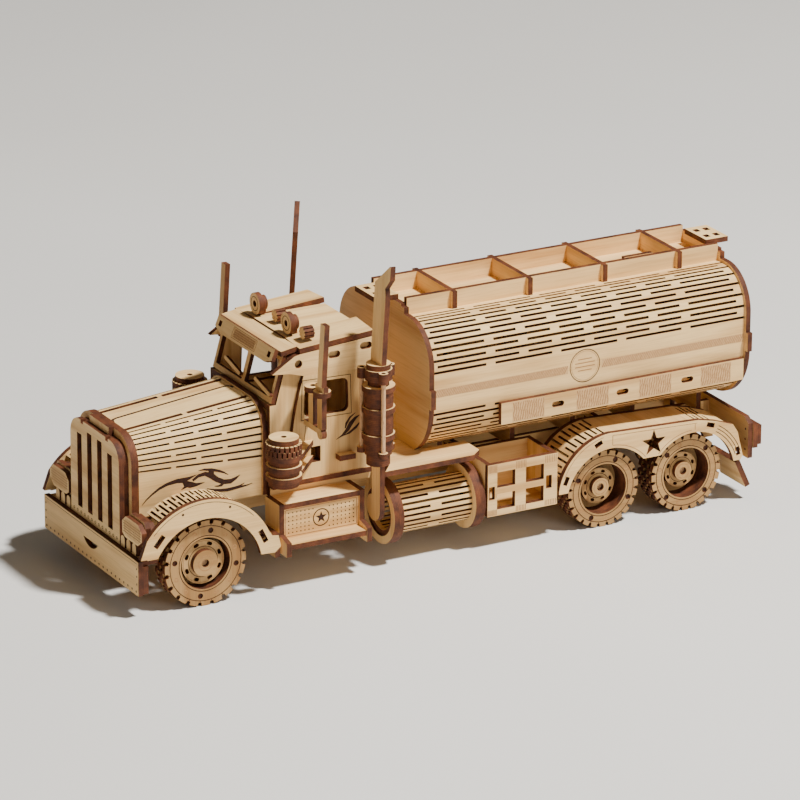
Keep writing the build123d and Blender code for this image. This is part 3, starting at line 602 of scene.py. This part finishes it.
def fuel_barrels():
    """A barrel round each fuel tank, with slits all round."""
    turn = 2 * math.pi / BARREL_SLITS
    half = BARREL_SLIT_HALF / BARREL_R
    us = merged([turn * k + side * half for k in range(BARREL_SLITS) for side in (-1, 1)])
    us.append(us[0] + 2 * math.pi)
    vs = sorted(BARREL_X + BARREL_OPEN + BARREL_BRIDGE)
    for side, label in SIDES:

        def place(u, x, depth):
            y = BARREL_Y + (BARREL_R - depth) * math.cos(u)
            return at(x, side * y, BARREL_Z + (BARREL_R - depth) * math.sin(u))

        def cut(u, x):
            k = round(u / turn)
            in_slit = abs(u - turn * k) < half and BARREL_OPEN[0] < x < BARREL_OPEN[1]
            return in_slit and (k % 2 == 0 or not BARREL_BRIDGE[0] < x < BARREL_BRIDGE[1])

        mesh = cut_sheet("fuel_barrel_" + label, us, vs, place, cut, "X", 0.4, wrap=True)
        piece("fuel_barrel_" + label, mesh, "truck", ["fuel_tank_barrels"])


# ---- Mudguard tops ----
ARC_STEPS = 16
CLEAR_OF_SLIT = 1.2            # bends nearer than this to a slit are left out


def guard_top(stem, track, ys, slits, width, tone, node):
    """Sheet along a track with slits across it; every second slit is a pair with a bridge."""
    y0, y1 = ys
    rim = 0.11 * (y1 - y0)
    middle = (y0 + y1) / 2
    closed = [(y0 + rim, y1 - rim)]
    paired = [(y0, middle - 0.7 * rim), (middle + 0.7 * rim, y1)]
    rows = [(s, closed if k % 2 else paired) for k, s in enumerate(slits)]
    corners = []
    total = 0.0
    for length, spot in track:
        if length > 8 and spot(0)[2:] != spot(length)[2:]:
            corners += [total + length * k / ARC_STEPS for k in range(ARC_STEPS)]
        corners.append(total)
        total += length
    inside = [c for c in corners if not any(abs(c - s) < CLEAR_OF_SLIT for s in slits)]
    us = merged(inside + row_edges(rows, width) + [0.0, total])
    vs = merged([y0, y1] + range_edges(rows))

    for side, label in SIDES:

        def place(u, y, depth):
            x, z, nx, nz = walk(track, u)
            return at(x - nx * depth, side * y, z - nz * depth)

        def cut(u, y):
            return is_cut(rows, width, u, y)

        mesh = cut_sheet(stem + label, us, vs, place, cut, "Y", tone, soft=SOFT)
        piece(stem + label, mesh, "truck", [node])


FRONT_GUARD_TRACK = [arc(-1.9, 16.5, 34.1, 19.4, 127.0)]
REAR_GUARD_TRACK = [
    line(272.9, 35.4, 271.0, 38.4),
    line(271.0, 38.4, 261.7, 41.6),
    line(261.7, 41.6, 252.4, 43.7),
    line(252.4, 43.7, 206.5, 45.6),
    arc(206.5, 18.5, 27.1, 90, 159.5),
]


def front_guard_tops():
    """Slits at even steps along the whole arc."""
    margin, last = 1.6, 27
    length = track_length(FRONT_GUARD_TRACK)
    slits = [margin + (length - 2 * margin) * k / last for k in range(last + 1)]
    guard_top(
        "front_guard_top_", FRONT_GUARD_TRACK, ys=(34.1, 47.6), slits=slits, width=1.15, tone=0.3,
        node="front_guard_tops",
    )


def rear_guard_tops():
    """Four slits at the back bends and eleven round the front arc."""
    pitch = 2.9
    length = track_length(REAR_GUARD_TRACK)
    back = [13.4 + pitch * k for k in range(4)]
    front = [length - 1.5 - pitch * k for k in range(11)]
    guard_top(
        "rear_guard_top_", REAR_GUARD_TRACK, ys=(26.6, 47.6), slits=back + front[::-1], width=1.05,
        tone=0.65, node="rear_guard_tops",
    )


tank_skin()
hood_cover()
fuel_barrels()
front_guard_tops()
rear_guard_tops()


# ---- Engraved marks ----
PROUD = 0.04                   # how far a mark stands proud of its board, in millimetres
SUNK = 0.2                     # how far it reaches into the board
LIFT = 0.008                   # step in height between marks that overlap
OVER = 0.02                    # height of hatching above the patch under it

# Outer faces that carry marks: distances from the centre plane, and stations.
TANK_FACE = 41.1
SKIRT_FACE = 43.6
DOOR_FACE = 31.5
GUARD_FACE = 50.2
STEP_FACE = 41.6
BOX_FACE = 49.0
GRILLE_X = -31.1
ROOF_LIGHT_X = 57.0
REAR_FLAP_X = 281.0


def on_side(y, side):
    """Face that looks outwards at y millimetres from the centre plane, on one side."""
    return lambda x, z, lift: at(x, side * (y + lift), z)


def on_front(x):
    """Face that looks forwards at station x."""
    return lambda y, z, lift: at(x - lift, y, z)


class Marks:
    """Thin inlays of one colour, gathered into one mesh. A skin puts a flat point on a board."""

    def __init__(self):
        self.bm = bmesh.new()

    def prism(self, skin, points, extra=0.0):
        """Flat inlay with any outline; extra raises it over the marks under it."""
        top = [self.bm.verts.new(skin(a, b, PROUD + extra)) for a, b in points]
        low = [self.bm.verts.new(skin(a, b, -SUNK)) for a, b in points]
        self.bm.faces.new(top)
        self.bm.faces.new(low[::-1])
        for i in range(len(points)):
            self.bm.faces.new((top[i - 1], top[i], low[i], low[i - 1]))

    def stroke(self, skin, points, widths, extra=0.0):
        """Ribbon along a run of points; widths is one number or one for each point."""
        if isinstance(widths, (int, float)):
            widths = [widths] * len(points)
        left, right = [], []
        for i, (a, b) in enumerate(points):
            before = points[max(i - 1, 0)]
            after = points[min(i + 1, len(points) - 1)]
            da, db = after[0] - before[0], after[1] - before[1]
            size = widths[i] / 2 / math.hypot(da, db)
            left.append((a - db * size, b + da * size))
            right.append((a + db * size, b - da * size))
        self.prism(skin, left + right[::-1], extra)

    def blade(self, skin, spots, extra=0.0):
        """Ribbon whose width changes: each spot is (a, b, width)."""
        self.stroke(skin, [spot[:2] for spot in spots], [spot[2] for spot in spots], extra)

    def dot(self, skin, a, b, radius, steps=10):
        self.prism(skin, circle_points(a, b, radius, steps))

    def ring(self, skin, a, b, radius, width, steps=24, start=0.0, end=360.0):
        """Ring or part of a ring, in short pieces."""
        for k in range(steps):
            t0 = math.radians(start + (end - start) * k / steps)
            t1 = math.radians(start + (end - start) * (k + 1) / steps)
            corners = []
            for reach, turn in ((radius, t0), (radius + width, t0), (radius + width, t1), (radius, t1)):
                corners.append((a + reach * math.cos(turn), b + reach * math.sin(turn)))
            self.prism(skin, corners)

    def frame(self, skin, a0, a1, b0, b1, width):
        """Outline of a rectangle."""
        for b in (b0, b1):
            self.stroke(skin, [(a0, b), (a1, b)], width)
        for a in (a0, a1):
            self.stroke(skin, [(a, b0 + width / 2), (a, b1 - width / 2)], width)

    def finish(self, name, body, material, tone=0.5):
        piece(name, finish_mesh(name, self.bm, [material], tone), body)


def star_points(a, b, outer, inner):
    """Outline of an upright five-pointed star."""
    points = []
    for k in range(10):
        reach = outer if k % 2 == 0 else inner
        turn = math.radians(90 + 36 * k)
        points.append((a + reach * math.cos(turn), b + reach * math.sin(turn)))
    return points


def circle_points(a, b, radius, steps):
    turns = [2 * math.pi * k / steps for k in range(steps)]
    return [(a + radius * math.cos(t), b + radius * math.sin(t)) for t in turns]


def steps_between(start, end, count):
    """Evenly spaced numbers, with both ends."""
    return [start + (end - start) * k / (count - 1) for k in range(count)]


def tank_marks():
    """Hatched stripe with a plain round badge, and wavy patches on the skirts."""
    pale = Marks()
    tan = Marks()
    dark = Marks()
    badge_x, badge_z = 196.8, 77.8
    for side in (-1, 1):
        skin = on_side(TANK_FACE, side)
        for x0, x1 in ((118.0, 187.9), (205.7, 281.8)):
            pale.stroke(skin, [(x0, 77.2), (x1, 77.2)], 3.9)
            for x in steps_between(x0 + 1.2, x1 - 1.2, 72):
                tan.stroke(skin, [(x - 0.9, 75.4), (x + 0.9, 79.0)], 0.45, OVER)
        dark.ring(skin, badge_x, badge_z, 7.6, 0.4, 40)
        tan.ring(skin, badge_x, badge_z, 6.9, 0.2, 40)
        for z, reach in ((75.6, 3.6), (77.4, 5.2), (79.2, 5.2), (81.0, 3.6)):
            tan.stroke(skin, [(badge_x - reach, z), (badge_x + reach, z)], 0.5)
        skin = on_side(SKIRT_FACE, side)
        for x0, x1 in ((158.4, 173.6), (191.9, 207.5), (225.1, 240.9), (258.2, 273.0)):
            pale.prism(skin, [(x0 - 0.7, 58.0), (x1 + 0.7, 58.0), (x1 + 0.7, 67.5), (x0 - 0.7, 67.5)])
            for k, x in enumerate(steps_between(x0, x1, 14)):
                heights = steps_between(58.4, 67.1, 7)
                wave = [(x + 0.35 * math.sin(1.1 * z + 0.8 * k), z) for z in heights]
                tan.stroke(skin, wave, 0.5, OVER)
    pale.finish("tank_stripe", "truck", PALE)
    tan.finish("tank_marks_tan", "truck", TINT)
    dark.finish("tank_marks_dark", "truck", BURN)


# A blade of a flame is a run of (station, height, width). Blades that meet overlap.
FLAMES = [
    [(-20.9, 44.1, 0.2), (-18.5, 46.5, 0.6), (-15.6, 48.6, 0.9), (-12.2, 50.6, 1.2), (-8.1, 52.0, 1.5),
     (-3.6, 52.6, 2.0), (-0.3, 52.4, 2.4), (2.6, 52.9, 1.4), (6.3, 53.9, 0.2)],
    [(-0.6, 52.4, 1.2), (0.9, 50.6, 2.8), (3.4, 49.6, 2.9), (6.3, 49.2, 1.5), (10.2, 49.6, 0.2)],
    [(-1.4, 48.0, 0.2), (0.2, 48.9, 1.0), (2.2, 50.0, 2.0)],
    [(4.3, 51.5, 1.2), (7.2, 53.2, 1.5), (10.5, 53.6, 1.9), (13.8, 52.0, 2.7), (16.3, 49.9, 2.4),
     (19.6, 48.1, 2.3), (23.3, 47.8, 2.2), (25.8, 48.8, 1.3), (27.9, 50.0, 0.2)],
    [(7.2, 55.6, 0.2), (10.1, 55.7, 0.9), (13.8, 54.9, 1.4), (17.5, 53.7, 1.1), (20.0, 52.5, 0.7),
     (22.1, 51.1, 0.2)],
    [(13.0, 55.2, 1.4), (13.4, 53.6, 3.0), (13.8, 52.2, 2.4)],
    [(19.6, 48.0, 1.8), (18.6, 46.8, 1.3), (17.1, 46.6, 0.7), (15.2, 46.9, 0.2)],
    [(11.4, 46.4, 0.2), (14.6, 45.2, 0.9), (17.9, 44.4, 1.3), (21.6, 44.0, 1.5), (25.0, 44.2, 1.4),
     (28.7, 44.3, 0.9), (31.6, 44.5, 0.5), (34.1, 45.0, 0.2)],
    [(25.0, 44.2, 1.2), (27.9, 44.9, 0.7), (30.1, 45.7, 0.2)],
]
DOOR_FLAMES = [
    [(73.6, 60.4, 0.2), (76.8, 61.9, 1.0), (79.4, 64.2, 1.9), (81.0, 66.8, 2.2), (83.2, 69.0, 1.4),
     (85.6, 70.2, 0.2)],
    [(78.2, 65.0, 0.6), (78.8, 67.2, 1.2), (80.6, 69.8, 0.9), (83.4, 71.6, 0.2)],
    [(77.2, 61.6, 0.2), (80.4, 62.6, 1.1), (83.6, 64.6, 1.2), (86.6, 67.6, 0.2)],
]


def hood_marks():
    """Flames on the hood sides and doors, and a long cut line on top of the hood."""
    dark = Marks()
    for side in (-1, 1):
        for face, flames in ((HOOD_HALF, FLAMES), (DOOR_FACE, DOOR_FLAMES)):
            for k, flame in enumerate(flames):
                dark.blade(on_side(face, side), flame, LIFT * k)
    rise = (HOOD_TOP[1] - HOOD_TOP[0]) / (HOOD_X[1] - HOOD_X[0])

    def skin(x, y, lift):
        return at(x, y, HOOD_TOP[0] + rise * (x - HOOD_X[0]) + lift)

    bend = [
        (-22.2, -1.2), (-21.9, 0.4), (-21.0, 1.5), (-19.2, 2.1), (0.0, 3.0),
        (34.6, 4.3), (37.0, 4.0), (38.4, 2.6), (38.7, 0.6),
    ]
    dark.stroke(skin, bend, 1.4)
    dark.finish("hood_marks", "truck", BURN)


def nose_marks():
    """Bumper ticks, rivet rings on the grille and hatching on the head lamps."""
    dark = Marks()
    tan = Marks()
    bumper = on_front(NOSE_STATION + PROUD / 2)
    for y in steps_between(-45.6, 45.6, 23):
        dark.dot(bumper, y, 12.6, 0.55)
    for side in (-1, 1):
        for z in (16.2, 19.8, 23.4):
            dark.dot(bumper, side * 46.2, z, 0.5)
    dark.stroke(bumper, [(-46.8, 25.9), (46.8, 25.9)], 0.25)
    grille = on_front(GRILLE_X)
    for y in steps_between(-21.6, 21.6, 13):
        dark.ring(grille, y, 29.2, 0.45, 0.3, 10)
    for side in (-1, 1):
        for y in steps_between(29.6, 44.4, 13):
            drop = max(0.0, 31.4 - y) * 0.7 + max(0.0, y - 43.0) * 0.7
            tan.stroke(grille, [(side * y, 33.6 + drop), (side * y, 41.6 - drop)], 0.35)
        for z in steps_between(35.2, 40.2, 5):
            tan.stroke(grille, [(side * 28.4, z), (side * 45.6, z)], 0.35)
    dark.finish("nose_marks_dark", "truck", BURN)
    tan.finish("nose_marks_tan", "truck", TINT)


def guard_marks():
    """Outline and rivets of the front guards, and a panel, curves and dots behind."""
    dark = Marks()
    tan = Marks()
    for side in (-1, 1):
        skin = on_side(GUARD_FACE, side)
        dark.ring(skin, -1.9, 16.5, 33.5, 0.22, 30, 44, 138)
        for a, b in ((-12.6, 46.4), (10.6, 46.0)):
            dark.dot(skin, a, b, 0.6)
        tan.stroke(skin, [(206.8, 40.4), (206.8, 45.0)], 0.35)
        tan.stroke(skin, [(251.0, 40.0), (251.0, 43.0)], 0.35)
        tan.ring(skin, 206.0, 16.0, 24.1, 0.3, 20, 40, 88)
        tan.ring(skin, 250.0, 16.0, 24.1, 0.3, 20, 92, 140)
        for reach in (24.4, 25.9, 27.4):
            dark.ring(skin, 250.0, 16.0, reach, 0.35, 16, 20, 60)
        tan.ring(skin, 206.5, 18.5, 26.6, 0.28, 20, 100, 158)
        tan.stroke(skin, [(207.0, 45.0), (252.0, 43.2)], 0.28)
    for side in (-1, 1):
        for z in (24.0, 29.0, 34.0):
            dark.dot(on_front(REAR_FLAP_X), side * 46.2, z, 0.6)
    dark.finish("guard_marks_dark", "truck", BURN)
    tan.finish("guard_marks_tan", "truck", TINT)


def cab_marks():
    """Window outlines, the steps' dotted panels with a star, hatching on the tool boxes and the
    visor, and a ring on each roof light."""
    dark = Marks()
    tan = Marks()
    window = [(55.9, 72.4), (56.5, 91.2), (80.8, 90.3), (81.3, 71.8), (55.9, 72.4)]
    star_x, star_z = 60.6, 29.1
    for side in (-1, 1):
        skin = on_side(DOOR_FACE, side)
        for a, b in zip(window, window[1:]):
            dark.stroke(skin, [a, b], 0.3)
        dark.stroke(skin, [(55.4, 45.6), (57.0, 58.0), (58.4, 71.0)], 0.25)
        panel = on_side(STEP_FACE, side)
        tan.frame(panel, 42.6, 78.6, 22.8, 35.4, 0.4)
        for x in steps_between(44.2, 77.0, 17):
            for z in steps_between(24.4, 33.8, 6):
                if math.hypot(x - star_x, z - star_z) > 5.4:
                    dark.dot(panel, x, z, 0.34, 6)
        dark.ring(panel, star_x, star_z, 3.7, 0.5, 26)
        dark.prism(panel, star_points(star_x, star_z, 2.9, 1.2))
        box = on_side(BOX_FACE, side)
        for x0, x1 in ((142.6, 146.6), (157.0, 161.8), (172.2, 177.6)):
            for z0, z1 in ((16.8, 19.4), (37.4, 41.0)):
                for x in steps_between(x0, x1, 7):
                    tan.stroke(box, [(x, z0), (x, z1)], 0.4)
    lean = math.radians(22)
    foot_x, foot_z, half_visor = 43.7, 97.4, 2.0

    def visor(y, height, lift):
        out = half_visor + lift
        x = foot_x + height * math.sin(lean) - out * math.cos(lean)
        return at(x, y, foot_z + height * math.cos(lean) + out * math.sin(lean))

    for y in (-15.1, 15.1):
        dark.ring(on_front(ROOF_LIGHT_X), y, 113.2, 3.1, 0.3, 24)
    for y in steps_between(-9.6, 9.6, 25):
        tan.stroke(visor, [(y - 0.8, 3.4), (y + 0.8, 7.4)], 0.35)
        tan.stroke(visor, [(y + 0.8, 3.4), (y - 0.8, 7.4)], 0.35)
    tan.frame(visor, -11.2, 11.2, 2.9, 7.9, 0.3)
    dark.finish("cab_marks_dark", "truck", BURN)
    tan.finish("cab_marks_tan", "truck", TINT)


def wheel_marks(body, axle_x, radius, out, teeth, disc_r, recess, pin_reach, pin_turn):
    """Circles round the bore and under the tread, short lines at the foot of the tread, rivet
    rings between the pins, and circles on the hub, whose disc is recessed by some plies."""
    dark = Marks()
    tan = Marks()
    for side in (-1, 1):
        skin = on_side(out, side)
        for k in range(teeth):
            turn = 2 * math.pi * (k + 0.5) / teeth
            line_ends = [
                (axle_x + reach * math.cos(turn), radius + reach * math.sin(turn))
                for reach in (radius - 2.2, radius - 1.5)
            ]
            dark.stroke(skin, line_ends, 0.4)
        for k in range(12):
            if k % 3:
                turn = math.radians(pin_turn + 30 * k)
                a = axle_x + pin_reach * math.cos(turn)
                tan.ring(skin, a, radius + pin_reach * math.sin(turn), 0.6, 0.5, 10)
        dark.ring(skin, axle_x, radius, 12.9, 0.35, 48)
        dark.ring(skin, axle_x, radius, radius - 2.7, 0.35, 60)
        disc_y = out - recess * PLY
        disc_skin = on_side(disc_y, side)
        dark.ring(disc_skin, axle_x, radius, disc_r * 0.68, 0.3, 32)
        tan.ring(disc_skin, axle_x, radius, disc_r * 0.93, 0.3, 32)
        tan.ring(on_side(disc_y + PLY, side), axle_x, radius, 3.3, 0.35, 24)
    dark.finish(body + "_marks_dark", body, BURN)
    tan.finish(body + "_marks_tan", body, TINT)


tank_marks()
hood_marks()
nose_marks()
guard_marks()
cab_marks()
FRONT_WHEEL = {"radius": 20.1, "out": 46.8, "teeth": 20, "disc_r": 10.4, "recess": 1, "pin_reach": 15.4}
REAR_WHEEL = {"radius": 18.5, "out": 47.2, "teeth": 24, "disc_r": 8.5, "recess": 2, "pin_reach": 14.6}
wheel_marks("front_wheels", axle_x=0.0, pin_turn=80, **FRONT_WHEEL)
wheel_marks("rear_wheels_1", axle_x=204.0, pin_turn=65, **REAR_WHEEL)
wheel_marks("rear_wheels_2", axle_x=248.4, pin_turn=45, **REAR_WHEEL)


# ---- Camera, floor and lights ----
AIM = Vector((-5.661, 0.0, 60.456)) * MM       # point in the frame that the camera looks at
CAMERA_AZIMUTH = math.radians(-28.929)
CAMERA_HEIGHT_ANGLE = math.radians(20.081)
CAMERA_DISTANCE = 2.56317
CAMERA_ROLL = math.radians(0.272)
LENS = 253.05
SENSOR = 36.0
FLOOR_HALF = 3.0               # half the side of the floor, in metres
FLOOR_DARK = (0.74, 0.72, 0.69)
FLOOR_LIGHT = (0.78, 0.76, 0.73)


def make_camera():
    data = bpy.data.cameras.new("camera")
    data.lens = LENS
    data.sensor_width = SENSOR
    data.clip_end = 20.0
    camera = bpy.data.objects.new("camera", data)
    bpy.context.scene.collection.objects.link(camera)
    flat = math.cos(CAMERA_HEIGHT_ANGLE)
    away = Vector((
        math.sin(CAMERA_AZIMUTH) * flat,
        -math.cos(CAMERA_AZIMUTH) * flat,
        math.sin(CAMERA_HEIGHT_ANGLE),
    ))
    turn = away.to_track_quat("Z", "Y").to_matrix().to_4x4()
    roll = Matrix.Rotation(CAMERA_ROLL, 4, "Z")
    camera.matrix_world = Matrix.Translation(AIM + away * CAMERA_DISTANCE) @ turn @ roll
    bpy.context.scene.camera = camera


def make_floor():
    bm = bmesh.new()
    bmesh.ops.create_grid(bm, x_segments=1, y_segments=1, size=FLOOR_HALF)
    mesh = bpy.data.meshes.new("floor")
    bm.to_mesh(mesh)
    bm.free()
    g = Graph("floor_pale", 0.75)
    cloud = g.noise(g.place((3, 3, 3)), detail=2.0, roughness=0.5)
    colour = g.ramp(cloud, (0.3, FLOOR_DARK), (0.7, FLOOR_LIGHT))
    g.link(colour, g.shader.inputs["Base Color"])
    mesh.materials.append(g.mat)
    floor = bpy.data.objects.new("floor", mesh)
    bpy.context.scene.collection.objects.link(floor)


def make_light(name, place, aim, size, power, colour):
    data = bpy.data.lights.new(name, "AREA")
    data.shape = "DISK"
    data.size = size
    data.energy = power
    data.color = colour
    light = bpy.data.objects.new(name, data)
    bpy.context.scene.collection.objects.link(light)
    light.location = place
    light.rotation_euler = (Vector(place) - Vector(aim)).to_track_quat("Z", "Y").to_euler()


def make_world():
    world = bpy.data.worlds.new("soft_room")
    world.use_nodes = True
    background = world.node_tree.nodes["Background"]
    background.inputs["Color"].default_value = (1.0, 0.89, 0.74, 1.0)
    background.inputs["Strength"].default_value = 0.13
    bpy.context.scene.world = world


make_camera()
make_floor()
make_world()
make_light(
    "key", place=(0.56, -0.78, 1.95), aim=(0.0, 0.0, 0.05), size=0.2, power=92.0, colour=(1.0, 0.99, 0.96),
)
make_light(
    "fill", place=(0.45, -1.9, 0.75), aim=(-0.05, 0.0, 0.05), size=1.0, power=9.0, colour=(1.0, 0.92, 0.80),
)
